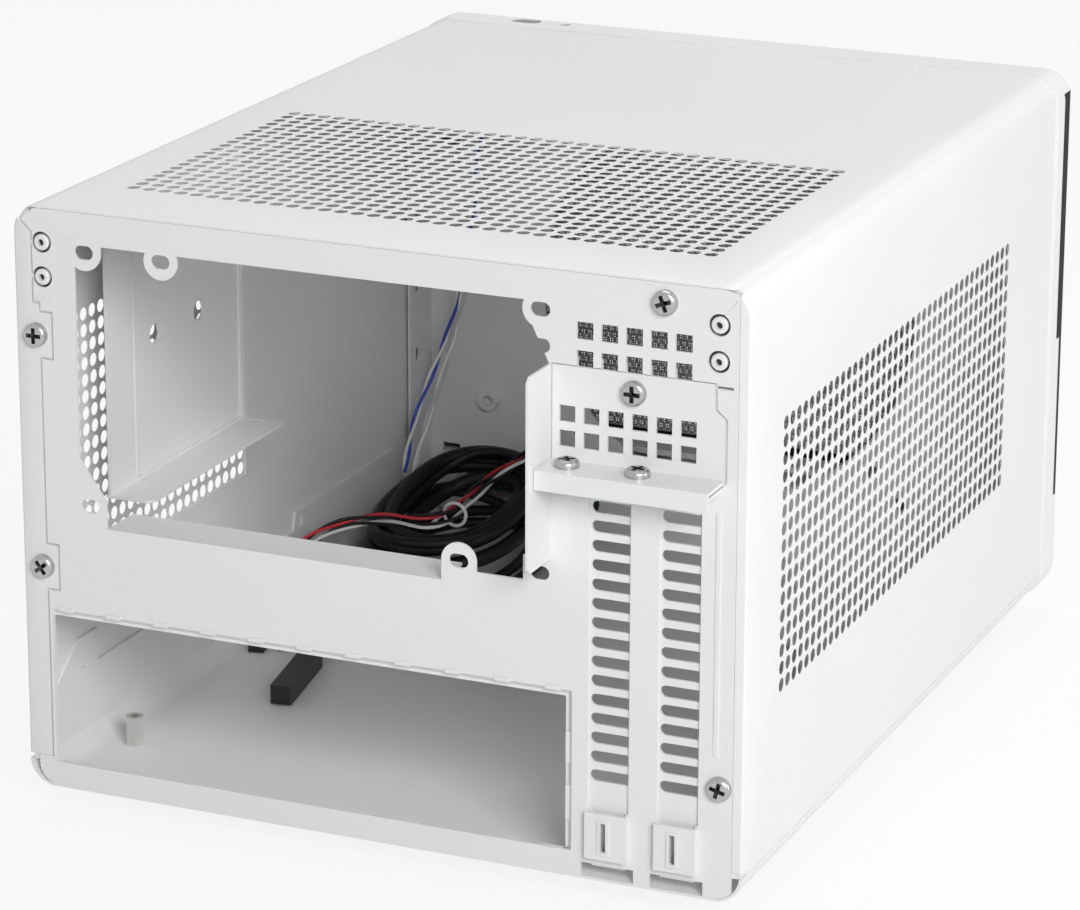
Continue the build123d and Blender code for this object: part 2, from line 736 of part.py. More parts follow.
def front_bezel():
    # Plastic frame: open in the middle for the mesh, closed band below for the connectors.
    shell = run_y(bezel_outline(0), front_y, seam_y)
    shell = fillet(shell.faces().sort_by(Axis.Y)[0].edges(), bezel_edge)
    shell -= run_y(bezel_outline(bezel_wall), front_y + bezel_wall, seam_y)
    for low, high, reach in ((mesh_low, mesh_step, mesh_side_lower), (mesh_step, mesh_high, mesh_side_upper)):
        shell -= block((-bezel_width, bezel_width), (front_y - 1, front_y + reach), up(low, high))
    inside = bezel_width / 2 - bezel_wall
    shelf = block((-inside, inside), (front_y + bezel_wall, seam_y - 2), up(mesh_low - bezel_wall, mesh_low))
    shell += shelf
    for core in button_cores(button_gap + collar_wall):
        shell += run_z(core, collar_end, bezel_top - bezel_wall)
    for core in button_cores(button_gap):
        shell -= run_z(core, collar_end - 1, bezel_top + 1)
    for x in (switch_board[0] + 1.5, switch_board[1] - 1.5):
        shell += block((x - 1.2, x + 1.2), (button_y - 2, button_y + 2), (switch_board_top, bezel_top - bezel_wall))
    for x in (io_board[0] + 2, io_board[1] - 2, sum(io_board) / 2):
        post = (floor_z - bezel_over + bezel_wall, floor_z + io_board_v - board_thick)
        shell += block((x - 1.5, x + 1.5), (button_y - 2, button_y + 2), post)
    shell -= run_y(port_windows(), front_y - 1, front_y + bezel_wall + 1)
    for side in (-1, 1):
        for v in clip_heights:
            shell += bezel_clip(side, v)
    return shell


def port_windows():
    windows = [Pos(x) * Rectangle(usb_width + 2 * port_gap, port_height + 2 * port_gap) for x in usb_centres]
    windows += [Pos(x) * Circle(jack_nose / 2 + port_gap) for x in jack_centres]
    windows += [Pos(x) * Circle(led_diameter / 2 + 0.1) for x in led_centres]
    return Pos(0, floor_z + port_row_v) * (Sketch() + windows)


def mesh_section(inset, reach):
    width = bezel_width / 2 - inset
    face = Pos(0, front_y + (inset + reach) / 2) * Rectangle(2 * width, reach - inset)
    return fillet(face.vertices().group_by(Axis.Y)[0], bezel_edge + 0.5 - inset)


def front_mesh():
    # Perforated panel across the front, wrapped round both sides.
    panels = []
    for low, high, reach in ((mesh_low, mesh_step, mesh_side_lower), (mesh_step, mesh_high, mesh_side_upper)):
        section = mesh_section(0, reach) - mesh_section(mesh_sheet, reach + 1)
        panels.append(run_z(section, floor_z + low, floor_z + high))
    mesh = panels[0] + panels[1]
    columns = int((bezel_width - 2 * mesh_border) // mesh_cell)
    rows = int((mesh_high - mesh_low) // mesh_cell)
    cells = GridLocations(mesh_cell, mesh_cell, columns, rows) * Box(mesh_hole, mesh_hole, 6)
    middle = Pos(0, front_y, floor_z + (mesh_low + mesh_high) / 2) * Rot(90, 0, 0)
    return mesh - middle * Compound(children=cells)


def button(core, rim):
    top = bezel_top - button_sunk
    low = collar_end - rim_gap - button_rim
    return run_z(core, low, top) + run_z(rim, low, low + button_rim)


def switches():
    # Small board under the buttons with a switch for each and a header for the leads.
    top = switch_board_top
    board = block(switch_board, (button_y - 4, button_y + 4), (top - board_thick, top))
    for x in (power_x, reset_x):
        board += Pos(x, button_y, top + switch_size[2] / 2) * Box(*switch_size)
        board += Pos(x, button_y, top + switch_size[2] + plunger[1] / 2) * Cylinder(plunger[0], plunger[1])
    width, length, height = header_size
    header = (top - board_thick - height, top - board_thick)
    board += block((lead_x - width / 2, lead_x + width / 2), (header_back - 1 - length, header_back), header)
    return board


def front_io_board():
    top = floor_z + io_board_v
    board = block(io_board, (front_y + bezel_wall + 0.3, wall_front - 1.0), (top - board_thick, top))
    for x in io_lead_places:
        width, height = io_socket
        board += block((x - width / 2, x + width / 2), (wall_front - 4.0, socket_back), (top, top + height))
    return board


def usb_port(x):
    # Steel shell with its contact tongue.
    low = floor_z + io_board_v
    start = front_y + 0.6
    shell = block((x - usb_width / 2, x + usb_width / 2), (start, start + port_depth), (low, low + port_height))
    shell -= block((x - 6.0, x + 6.0), (start - 1, start + port_depth - 1.5), (low + 0.5, low + port_height - 0.5))
    tongue = block((x - 5.2, x + 5.2), (start + 1, start + port_depth), (low + 2.9, low + 4.6))
    return shell + tongue


def jack(x):
    low = floor_z + io_board_v
    middle = floor_z + port_row_v
    start = front_y + bezel_wall + 0.2
    body = block((x - jack_width / 2, x + jack_width / 2), (start, start + port_depth - 2), (low, low + port_height))
    body += run_y(Pos(x, middle) * Circle(jack_nose / 2), front_y + 0.6, start)
    return body - run_y(Pos(x, middle) * Circle(jack_bore / 2), front_y, start + port_depth - 3.5)


def led(x):
    low = floor_z + io_board_v
    middle = floor_z + port_row_v
    body = run_y(Pos(x, middle) * Circle(led_diameter / 2), front_y + 0.2, front_y + 4.0)
    return body + block((x - 1.9, x + 1.9), (front_y + 2.6, front_y + 6.0), (low, middle + 1.9))


def foot():
    # A rubber foot glued under the tray.
    return Pos(0, 0, foot_height / 2) * Cone(foot_diameter / 2 - 1, foot_diameter / 2, foot_height)


def standoffs():
    height = standoff_top + floor_z - tray_top
    post = RegularPolygon(standoff_diameter / 2, 6, major_radius=False) - Circle(thread_hole / 2)
    return [Pos(x, y) * run_z(post, tray_top, tray_top + height) for x, y in board_places()]


def screw(depth):
    # Pan head screw pointing along -Z, head underside at the origin.
    head = Pos(0, 0, head_height / 2) * Cylinder(head_diameter / 2, head_height)
    head = chamfer(head.edges().group_by(Axis.Z)[-1], 0.7)
    head -= [Pos(0, 0, head_height) * Box(*size, 1.6) for size in ((3.8, 0.8), (0.8, 3.8))]
    return head + Pos(0, 0, -depth / 2) * Cylinder(shank_diameter / 2 - slip, depth)


def at_back(u, v, proud):
    # Stands a piece made along Z on the rear face so that it points outward.
    return Pos(half - u, rear_y + proud, floor_z + v) * Rot(-90, 0, 0)


def rivet():
    # Hollow rivet with its head in a round seat of the panel.
    body = Pos(0, 0, rivet_height / 2) * Cylinder(rivet_diameter / 2, rivet_height)
    body = chamfer(body.edges().group_by(Axis.Z)[-1], 0.4)
    body += Pos(0, 0, -1.2) * Cylinder(rivet_shank / 2 - slip, 2.4)
    return body - Pos(0, 0, rivet_height) * Cylinder(rivet_core / 2, 5.0)


def cord(points, diameter):
    # A round lead through the points, bent as gently as its runs allow.
    corners = [Vector(*point) for point in points]
    radii = []
    for before, here, after in zip(corners, corners[1:], corners[2:]):
        first = here - before
        second = after - here
        half_turn = radians(first.get_angle(second)) / 2
        radii.append(0.45 * min(first.length, second.length) / tan(half_turn))
    path = FilletPolyline(*corners, radius=radii) if radii else Line(*corners)
    start = Plane(origin=path @ 0, z_dir=path % 0)
    tube = sweep(start * Circle(diameter / 2), path=path)
    section = pi * diameter ** 2 / 4
    print(round(path.length, 1), round(tube.volume / (section * path.length), 4), [round(r, 1) for r in radii])
    return tube


def plug(points, size):
    # A connector block on the end of a lead, in line with its last run, flat on the floor.
    end = Vector(*points[-1])
    run = (end - Vector(*points[-2])).normalized()
    width, length, height = size
    place = Plane(origin=end, x_dir=(run.Y, -run.X, 0), z_dir=(run.X, run.Y, run.Z))
    return place * Pos(0, 0, length / 2) * Box(width, height, length)


def cable_coil():
    # A heap of turns that rises toward the front wall.
    outline = SlotOverall(coil_length, coil_width, rotation=90)
    outline -= SlotOverall(coil_length - coil_band, coil_width - coil_band, rotation=90)
    rise = coil_slope * coil_length / 2
    coil = run_z(Pos(coil_x, coil_y) * outline, tray_top, tray_top + coil_height + 3 * rise)
    slope = [
        (coil_y - coil_length, coil_height + 2 * rise), (coil_y + coil_length, coil_height - 2 * rise),
        (coil_y + coil_length, coil_height + 6 * rise), (coil_y - coil_length, coil_height + 6 * rise),
    ]
    face = make_face(Polyline([(y, tray_top + high) for y, high in slope], close=True))
    side = Plane(origin=(coil_x - coil_width, 0, 0), x_dir=(0, 1, 0), z_dir=(1, 0, 0))
    coil -= extrude(side * face, 2 * coil_width)
    upper = coil.faces().sort_by(Axis.Z)[-1]
    return fillet(upper.outer_wire().edges(), 8.0)


def cable_tie():
    # A loop of coated wire round the leads with its twisted end hanging down.
    x, y, z = tie_place
    loop = Pos(x, y, z) * Rot(90, 0, 0) * Torus(tie_radius, tie_wire / 2)
    start = Vector(x + tie_radius, y + 0.2, z)
    run = Vector(4.6, 3.8, -4.8)
    place = Plane(origin=start, z_dir=run)
    return loop + place * Pos(0, 0, run.length / 2) * Cylinder(tie_wire / 2, run.length)


def save(name, shape):
    solids = []
    for piece in shape if isinstance(shape, list) else [shape]:
        solids += piece.solids()
    result = solids[0] if len(solids) == 1 else Compound(children=solids)
    print(name, len(solids), round(sum(solid.volume for solid in solids)))
    export_step(result, f"parts/{name}.step")


header_z = switch_board_top - board_thick - 5.5
socket_z = floor_z + io_board_v + 3.0
plug_z = tray_top + lead_plug[2] / 2 + 3 * slip

# Routes of the leads and cables, from their socket to their coil or plug
blue_route = [
    (84.0, header_back, header_z), (84.0, -124.1, header_z), (84.6, -122.6, 140.0), (88.0, -122.2, 112.0),
    (92.5, -121.5, 86.0), (97.6, -119.6, 70.5), (101.9, -114.4, 56.0), (102.6, -105.0, 44.0), (98.4, -92.0, 35.5),
]
grey_route = [
    (80.0, header_back, header_z), (80.0, -124.3, header_z), (80.4, -122.4, 142.0), (85.0, -121.6, 114.0),
    (89.6, -120.0, 91.0), (92.8, -118.4, 75.0), (96.4, -114.6, 58.5), (98.4, -107.0, 45.5), (96.6, -96.0, 34.5),
]
red_route = [
    (66.0, socket_back, socket_z), (66.0, -127.45, socket_z), (65.6, -123.9, 25.1), (65.1, -121.9, 28.7),
    (63.8, -121.6, 33.6), (61.4, -120.4, 39.9), (59.4, -115.2, 44.9), (58.8, -104.0, 44.4), (61.5, -90.0, 42.6),
    (63.4, -74.0, 41.4), (62.0, -57.0, 40.3), (62.4, -46.5, 39.8), (69.0, -41.8, 39.4), (78.5, -41.0, 39.0),
    (88.6, -41.2, 37.4), (98.3, -35.5, 35.0), (104.7, -27.0, 31.0), (105.4, -18.0, 23.0), (104.8, -9.5, 14.5),
    (102.6, -3.0, plug_z), (101.2, 3.2, plug_z),
]
black_route = [
    (58.0, socket_back, socket_z), (58.0, -127.45, socket_z), (57.6, -123.9, 25.1), (57.1, -121.9, 28.7),
    (56.2, -121.6, 33.6), (54.9, -120.3, 39.9), (54.2, -115.0, 45.1), (55.2, -104.0, 45.4), (58.1, -90.0, 43.3),
    (60.3, -74.0, 41.7), (59.7, -57.0, 38.6), (60.6, -48.0, 37.4), (66.5, -43.2, 36.0), (77.0, -44.4, 35.5),
    (88.0, -44.6, 34.4), (98.0, -39.2, 32.6), (103.4, -30.5, 28.6), (103.0, -20.5, 20.4), (99.8, -13.0, 13.4),
    (96.6, -7.4, plug_z), (94.6, -1.4, plug_z),
]
usb_route = [(83.0, socket_back, socket_z), (83.0, coil_y - coil_length / 2 + 5.0, socket_z)]
audio_route = [(50.0, socket_back, socket_z), (50.0, -121.0, socket_z), (52.5, -109.5, 20.5), (60.0, -101.0, 18.0)]
usb_tail_route = [
    (78.0, -49.0, 17.0), (80.0, -32.0, 13.6), (81.0, -14.0, 12.2), (79.6, 4.0, 12.2), (76.6, 20.5, 12.2),
]
audio_tail_route = [(62.0, -50.0, 15.0), (57.0, -36.0, 12.2), (54.5, -22.0, 11.6), (54.0, -10.5, 11.6)]

# Where the blue and grey leads leave the heap again, each with its plug
blue_end = [(coil_x, coil_y + 11.0, plug_z), (91.8, -48.5, plug_z)]
grey_end = [(coil_x, coil_y + 11.0, plug_z), (70.5, -41.5, plug_z)]

save("base_tray", base_tray())
save("rear_panel", rear_panel())
save("front_wall", front_wall())
save("rail_left", side_rail(1))
save("rail_right", side_rail(-1))
save("psu_bracket", psu_bracket())
save("outer_cover", outer_cover())
save("slot_clamp", slot_clamp())
for number in range(slot_count):
    save(f"slot_cover_{number + 1}", slot_cover(number))
save("front_bezel", front_bezel())
save("front_mesh", front_mesh())

power_core, reset_core = button_cores(0)
power_rim, reset_rim = button_cores(collar_wall)
save("power_button", button(power_core, power_rim))
save("reset_button", button(reset_core, reset_rim))
save("switch_board", switches())
save("front_io_board", front_io_board())
for number, x in enumerate(usb_centres):
    save(f"usb_port_{number + 1}", usb_port(x))
for name, x in zip(("headphone_jack", "microphone_jack"), jack_centres):
    save(name, jack(x))
for name, x in zip(("power_led", "drive_led"), led_centres):
    save(name, led(x))

for name, (x, y) in zip(("foot_rear_left", "foot_rear_right", "foot_front_left", "foot_front_right"), foot_places()):
    save(name, Pos(x, y) * foot())
save("standoffs", standoffs())
save("cover_screws", [at_back(u, v, 0) * screw(shank_length) for u, v in cover_screw_places()])
save("clamp_screw", at_back(*clamp_screw, 0) * screw(shank_length))
shelf_top = floor_z + ledge_v + 3 * sheet
lifted = Pos(0, 0, shelf_top - floor_z - ledge_v)
save("slot_screws", [lifted * slot_screw_place(number) * screw(shank_length) for number in range(slot_count)])
save("rivets", [at_back(u, v, -sheet) * rivet() for u, v in rivet_places])

save("cable_coil", cable_coil())
save("usb_cable", cord(usb_route, usb_cable_diameter))
save("usb_tail", cord(usb_tail_route, usb_cable_diameter))
save("usb_plug", plug(usb_tail_route, usb_plug_size))
save("audio_cable", cord(audio_route, audio_cable_diameter))
save("audio_tail", cord(audio_tail_route, audio_cable_diameter))
save("audio_plug", plug(audio_tail_route, audio_plug_size))
for name, route in (("blue", blue_route), ("grey", grey_route), ("red", red_route), ("black", black_route)):
    save(f"{name}_lead", cord(route, lead_diameter))
for name, route in (("blue", blue_end), ("grey", grey_end), ("red", red_route), ("black", black_route)):
    save(f"{name}_plug", plug(route, lead_plug))
save("cable_tie", cable_tie())
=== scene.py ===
import json
import math
import bpy
from mathutils import Matrix, Vector


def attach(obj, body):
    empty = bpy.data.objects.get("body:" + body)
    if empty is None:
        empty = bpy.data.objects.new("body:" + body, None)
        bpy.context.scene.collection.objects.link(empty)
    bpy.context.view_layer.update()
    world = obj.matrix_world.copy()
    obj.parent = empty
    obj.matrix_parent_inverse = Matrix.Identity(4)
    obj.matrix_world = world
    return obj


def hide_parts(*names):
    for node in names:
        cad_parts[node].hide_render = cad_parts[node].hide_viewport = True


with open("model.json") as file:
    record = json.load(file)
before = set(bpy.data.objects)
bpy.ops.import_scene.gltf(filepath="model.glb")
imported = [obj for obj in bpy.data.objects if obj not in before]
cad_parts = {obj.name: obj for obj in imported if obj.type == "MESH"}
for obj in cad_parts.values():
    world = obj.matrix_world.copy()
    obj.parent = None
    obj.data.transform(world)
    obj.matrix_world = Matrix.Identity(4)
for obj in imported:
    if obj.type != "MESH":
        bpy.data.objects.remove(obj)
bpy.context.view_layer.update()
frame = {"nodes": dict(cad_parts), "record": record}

mm = 0.001
rearY = 0.13485
seamY = -0.13565
frontY = -0.15015
floorZ = 0.008
topZ = 0.181
half = 0.110


# Camera

view = {"place": (-0.4824, 1.12365, 0.4764), "azimuth": 202.206, "elevation": 16.183, "roll": 0.57,
        "lens": 141.12, "shift": (-0.0926, -0.1157)}


def cameraMatrix():
    azimuth, elevation, roll = (math.radians(view[key]) for key in ("azimuth", "elevation", "roll"))
    level = math.cos(elevation)
    forward = Vector((-math.sin(azimuth) * level, math.cos(azimuth) * level, -math.sin(elevation)))
    right = forward.cross(Vector((0, 0, 1))).normalized()
    up = right.cross(forward)
    sideways = math.cos(roll) * right + math.sin(roll) * up
    upward = math.cos(roll) * up - math.sin(roll) * right
    matrix = Matrix((sideways, upward, -forward)).transposed().to_4x4()
    matrix.translation = Vector(view["place"])
    return matrix


cameraData = bpy.data.cameras.new("camera")
cameraData.lens = view["lens"]
cameraData.sensor_width = 36
cameraData.shift_x, cameraData.shift_y = view["shift"]
cameraData.clip_start = 0.05
camera = bpy.data.objects.new("camera", cameraData)
camera.matrix_world = cameraMatrix()
bpy.context.collection.objects.link(camera)
bpy.context.scene.camera = camera
print("camera done")


# Materials

# A node socket that can be added, multiplied and compared like a number
class Wire:
    def __init__(self, tree, socket):
        self.tree = tree
        self.socket = socket

    def maths(self, kind, other=None, third=None):
        made = self.tree.nodes.new("ShaderNodeMath")
        made.operation = kind
        for index, value in enumerate((self, other, third)):
            if isinstance(value, Wire):
                self.tree.links.new(value.socket, made.inputs[index])
            elif value is not None:
                made.inputs[index].default_value = value
        return Wire(self.tree, made.outputs[0])

    def __add__(self, other):
        return self.maths("ADD", other)

    def __sub__(self, other):
        return self.maths("SUBTRACT", other)

    def __rsub__(self, other):
        return self * -1.0 + other

    def __mul__(self, other):
        return self.maths("MULTIPLY", other)

    def larger(self, other):
        return self.maths("MAXIMUM", other)

    __radd__ = __add__
    __rmul__ = __mul__


# A material with a Principled shader and short ways to add nodes to it
class Surface:
    def __init__(self, name, color, roughness, metallic=0.0, **fixed):
        self.material = bpy.data.materials.new(name)
        self.material.use_nodes = True
        self.tree = self.material.node_tree
        self.shader = self.tree.nodes["Principled BSDF"]
        self.shader.inputs["Base Color"].default_value = (*color, 1.0)
        self.shader.inputs["Roughness"].default_value = roughness
        self.shader.inputs["Metallic"].default_value = metallic
        for key, value in fixed.items():
            self.shader.inputs[key.replace("_", " ")].default_value = value
        self.place = self.node("TexCoord", out="Object")

    def node(self, kind, inputs=None, out=0, **settings):
        made = self.tree.nodes.new("ShaderNode" + kind)
        for key, value in settings.items():
            setattr(made, key, value)
        for key, value in (inputs or {}).items():
            if isinstance(value, Wire):
                self.tree.links.new(value.socket, made.inputs[key])
            else:
                made.inputs[key].default_value = value
        return Wire(self.tree, made.outputs[out])

    def noise(self, scale, detail=3.0, roughness=0.5):
        inputs = {"Vector": self.place, "Scale": scale, "Detail": detail, "Roughness": roughness}
        return self.node("TexNoise", inputs)

    def feed(self, name, wire):
        self.tree.links.new(wire.socket, self.shader.inputs[name])

    def tone(self, low, high, wire):
        mixed = self.tree.nodes.new("ShaderNodeMix")
        mixed.data_type = "RGBA"
        mixed.inputs[6].default_value = (*low, 1.0)
        mixed.inputs[7].default_value = (*high, 1.0)
        self.tree.links.new(wire.socket, mixed.inputs[0])
        self.feed("Base Color", Wire(self.tree, mixed.outputs[2]))

    def bump(self, height, strength, distance):
        made = {"Height": height, "Strength": strength, "Distance": distance}
        self.feed("Normal", self.node("Bump", made, "Normal"))


def powderCoat(name, color, roughness, grain):
    # Fine orange peel of the coat, with slow drifts in tone and gloss.
    coat = Surface(name, color, roughness)
    fine = coat.noise(1500.0, 2.0)
    slow = coat.noise(18.0, 2.0)
    coat.tone([channel * 0.97 for channel in color], [min(channel * 1.02, 1) for channel in color], slow)
    coat.feed("Roughness", slow * 0.12 + fine * 0.1 + (roughness - 0.1))
    coat.bump(fine, grain, 0.0002)
    return coat.material


def plain(name, color, roughness, metallic=0.0, grain=0.1, scale=700.0, **fixed):
    # Moulded or plated surface with a faint grain.
    finish = Surface(name, color, roughness, metallic, **fixed)
    fine = finish.noise(scale, 3.0)
    slow = finish.noise(40.0, 2.0)
    finish.tone([channel * 0.9 for channel in color], [min(channel * 1.08, 1) for channel in color], slow)
    finish.feed("Roughness", fine * 0.12 + (roughness - 0.06))
    finish.bump(fine, grain, 0.0002)
    return finish.material


white = (0.76, 0.763, 0.77)
looks = {
    "white_steel": powderCoat("whiteSteel", white, 0.42, 0.1),
    "white_plastic": powderCoat("whitePlastic", (0.77, 0.773, 0.78), 0.38, 0.06),
    "black_mesh": plain("blackMesh", (0.008, 0.008, 0.009), 0.6, grain=0.12, Specular_IOR_Level=0.15),
    "grey_plastic": plain("greyPlastic", (0.20, 0.20, 0.21), 0.4),
    "circuit_board": plain("circuitBoard", (0.01, 0.07, 0.03), 0.35),
    "plated_steel": plain("platedSteel", (0.50, 0.49, 0.48), 0.26, metallic=1.0, grain=0.06),
    "black_plastic": plain("blackPlastic", (0.014, 0.014, 0.015), 0.4),
    "clear_plastic": plain("clearPlastic", (0.85, 0.87, 0.9), 0.15),
    "black_rubber": plain("blackRubber", (0.02, 0.02, 0.02), 0.75, grain=0.25),
    "brass": plain("standoffPlate", (0.72, 0.71, 0.68), 0.35, metallic=0.85),
    "black_sheath": plain("blackSheath", (0.008, 0.008, 0.009), 0.42, Specular_IOR_Level=0.3),
    "blue_sheath": plain("blueSheath", (0.03, 0.07, 0.45), 0.35),
    "grey_sheath": plain("greySheath", (0.5, 0.51, 0.53), 0.4),
    "red_sheath": plain("redSheath", (0.55, 0.02, 0.03), 0.35),
    "white_nylon": plain("whiteNylon", (0.8, 0.8, 0.78), 0.4),
}
slots = {entry["node"]: entry["material_slot"] for entry in frame["record"]["subparts"]}
for nodeName, part in frame["nodes"].items():
    for materialSlot in part.material_slots:
        materialSlot.material = looks[slots[nodeName]]
print("materials done")


# Tools for modelling by hand

def clearSelection():
    if bpy.context.object and bpy.context.object.mode != "OBJECT":
        bpy.ops.object.mode_set(mode="OBJECT")
    bpy.ops.object.select_all(action="DESELECT")


def only(*things):
    clearSelection()
    for thing in things:
        thing.select_set(True)
    bpy.context.view_layer.objects.active = things[0]


def settle(thing, name, slotName, material=None):
    # Fixes a finished piece in its place, names it, gives it its finish and lets it ride on the case.
    only(thing)
    bpy.ops.object.transform_apply(location=True, rotation=True, scale=True)
    thing.name = name
    thing.data.name = name
    thing.data.materials.clear()
    thing.data.materials.append(material or looks[slotName])
    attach(thing, "case")
    return thing


def slab(low, high):
    # A block from its lowest and highest corner, in metres.
    clearSelection()
    middle = [(a + b) / 2 for a, b in zip(low, high)]
    bpy.ops.mesh.primitive_cube_add(size=1, location=middle)
    block = bpy.context.object
    block.scale = [b - a for a, b in zip(low, high)]
    bpy.ops.object.transform_apply(location=True, rotation=True, scale=True)
    return block


def selectEdges(thing, test):
    # Leaves the object in edit mode with only the edges that pass the test selected.
    only(thing)
    bpy.ops.object.mode_set(mode="EDIT")
    bpy.ops.mesh.select_mode(type="EDGE")
    bpy.ops.mesh.select_all(action="DESELECT")
    bpy.ops.object.mode_set(mode="OBJECT")
    points = thing.data.vertices
    for edge in thing.data.edges:
        first, second = (points[index].co for index in edge.vertices)
        edge.select = test(first, second)
    bpy.ops.object.mode_set(mode="EDIT")


def bevelEdges(thing, test, offset, segments):
    selectEdges(thing, test)
    bpy.ops.mesh.bevel(offset=offset, segments=segments, affect="EDGES")
    bpy.ops.object.mode_set(mode="OBJECT")


def applyAll(thing):
    only(thing)
    for modifier in list(thing.modifiers):
        bpy.ops.object.modifier_apply(modifier=modifier.name)


def joined(things):
    only(*things)
    bpy.ops.object.join()
    return things[0]


def cutAway(thing, cutters):
    # Takes the cutters out of the piece.
    cutter = joined(cutters)
    hole = thing.modifiers.new("cut", "BOOLEAN")
    hole.operation = "DIFFERENCE"
    hole.solver = "EXACT"
    hole.use_self = True
    hole.object = cutter
    applyAll(thing)
    bpy.data.objects.remove(cutter)


def smooth(thing, degrees=35):
    only(thing)
    bpy.ops.object.shade_smooth_by_angle(angle=math.radians(degrees))


def arrayed(thing, count, offset):
    # Repeats a piece along one direction and welds the copies.
    copies = thing.modifiers.new("row", "ARRAY")
    copies.count = count
    copies.use_relative_offset = False
    copies.use_constant_offset = True
    copies.constant_offset_displace = offset
    copies.use_merge_vertices = True
    copies.merge_threshold = 0.00002
    applyAll(thing)


# Cords

def guide(name, points, resolution):
    # A smooth curve through its control points, in metres.
    data = bpy.data.curves.new(name, "CURVE")
    data.dimensions = "3D"
    data.resolution_u = resolution
    spline = data.splines.new("NURBS")
    spline.points.add(len(points) - 1)
    for knot, place in zip(spline.points, points):
        knot.co = (*place, 1.0)
    spline.order_u = 3
    spline.use_endpoint_u = True
    made = bpy.data.objects.new(name, data)
    bpy.context.collection.objects.link(made)
    return made


def path(name, points, diameter, slotName, resolution=8):
    cord = guide(name, points, resolution)
    cord.data.bevel_depth = diameter / 2
    cord.data.bevel_resolution = 2
    cord.data.use_fill_caps = True
    cord.data.materials.append(looks[slotName])
    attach(cord, "case")
    return cord


def walked(points, step):
    # Places at even steps along the smooth curve, and its length.
    curve = guide("guide", points, 16)
    bpy.context.view_layer.update()
    line = bpy.data.meshes.new_from_object(curve.evaluated_get(bpy.context.evaluated_depsgraph_get()))
    knots = [vertex.co.copy() for vertex in line.vertices]
    bpy.data.meshes.remove(line)
    bpy.data.objects.remove(curve)
    places = [knots[0]]
    total = 0.0
    due = step
    for first, second in zip(knots, knots[1:]):
        run = (second - first).length
        while due <= total + run and run > 0:
            places.append(first.lerp(second, (due - total) / run))
            due += step
        total += run
    return places + [knots[-1]], total


def strand(places, step, reach, pitch, phase):
    # One wire of a twisted pair: its control points wind round the given places.
    points = []
    side = Vector((0.3, 0.5, 0.8))
    for index, place in enumerate(places):
        run = places[min(index + 1, len(places) - 1)] - places[max(index - 1, 0)]
        along = run.normalized()
        side = (side - side.dot(along) * along).normalized()
        other = along.cross(side)
        angle = phase + 2 * math.pi * index * step / pitch
        points.append(place + reach * (math.cos(angle) * side + math.sin(angle) * other))
    return points


pair = {"wire": 0.00115, "reach": 0.00060, "pitch": 0.030, "step": 0.0030}
header = {"y": -0.13765, "z": 0.1595}
socket = {"y": -0.13145, "z": 0.0231}
leads = {
    "blueLead": {"slots": ("blue_sheath", "white_nylon"), "node": "blue_lead", "plug": "blue_plug", "points": [
        (0.0840, header["y"], header["z"]), (0.0840, -0.1241, header["z"]), (0.0846, -0.1226, 0.1400),
        (0.0880, -0.1222, 0.1120), (0.0925, -0.1215, 0.0860), (0.0976, -0.1196, 0.0705),
        (0.1019, -0.1144, 0.0560), (0.1026, -0.1050, 0.0440), (0.0984, -0.0920, 0.0355)]},
    "greyLead": {"slots": ("grey_sheath", "white_nylon"), "node": "grey_lead", "plug": "grey_plug", "points": [
        (0.0800, header["y"], header["z"]), (0.0800, -0.1243, header["z"]), (0.0804, -0.1224, 0.1420),
        (0.0850, -0.1216, 0.1140), (0.0896, -0.1200, 0.0910), (0.0928, -0.1184, 0.0750),
        (0.0964, -0.1146, 0.0585), (0.0984, -0.1070, 0.0455), (0.0966, -0.0960, 0.0345)]},
    "redLead": {"slots": ("red_sheath", "black_sheath"), "node": "red_lead", "plug": "red_plug", "points": [
        (0.0660, socket["y"], socket["z"]), (0.0660, -0.12745, socket["z"]), (0.0656, -0.1239, 0.0251),
        (0.0651, -0.1219, 0.0287), (0.0638, -0.1216, 0.0336), (0.0614, -0.1204, 0.0399),
        (0.0594, -0.1152, 0.0449), (0.0588, -0.1040, 0.0444), (0.0615, -0.0900, 0.0426),
        (0.0634, -0.0740, 0.0414), (0.0620, -0.0570, 0.0403), (0.0624, -0.0465, 0.0398),
        (0.0690, -0.0418, 0.0394), (0.0785, -0.0410, 0.0390), (0.0886, -0.0412, 0.0374),
        (0.0983, -0.0355, 0.0350), (0.1047, -0.0270, 0.0310), (0.1054, -0.0180, 0.0230),
        (0.1048, -0.0095, 0.0145), (0.1026, -0.0030, 0.0104), (0.1012, 0.0032, 0.0104)]},
    "blackLead": {"slots": ("white_nylon", "black_sheath"), "node": "black_lead", "plug": "black_plug", "points": [
        (0.0580, socket["y"], socket["z"]), (0.0580, -0.12745, socket["z"]), (0.0576, -0.1239, 0.0251),
        (0.0571, -0.1219, 0.0287), (0.0562, -0.1216, 0.0336), (0.0549, -0.1203, 0.0399),
        (0.0542, -0.1150, 0.0451), (0.0552, -0.1040, 0.0454), (0.0581, -0.0900, 0.0433),
        (0.0603, -0.0740, 0.0417), (0.0597, -0.0570, 0.0386), (0.0606, -0.0480, 0.0374),
        (0.0665, -0.0432, 0.0360), (0.0770, -0.0444, 0.0355), (0.0880, -0.0446, 0.0344),
        (0.0980, -0.0392, 0.0326), (0.1034, -0.0305, 0.0286), (0.1030, -0.0205, 0.0204),
        (0.0998, -0.0130, 0.0134), (0.0966, -0.0074, 0.0104), (0.0946, -0.0014, 0.0104)]},
}
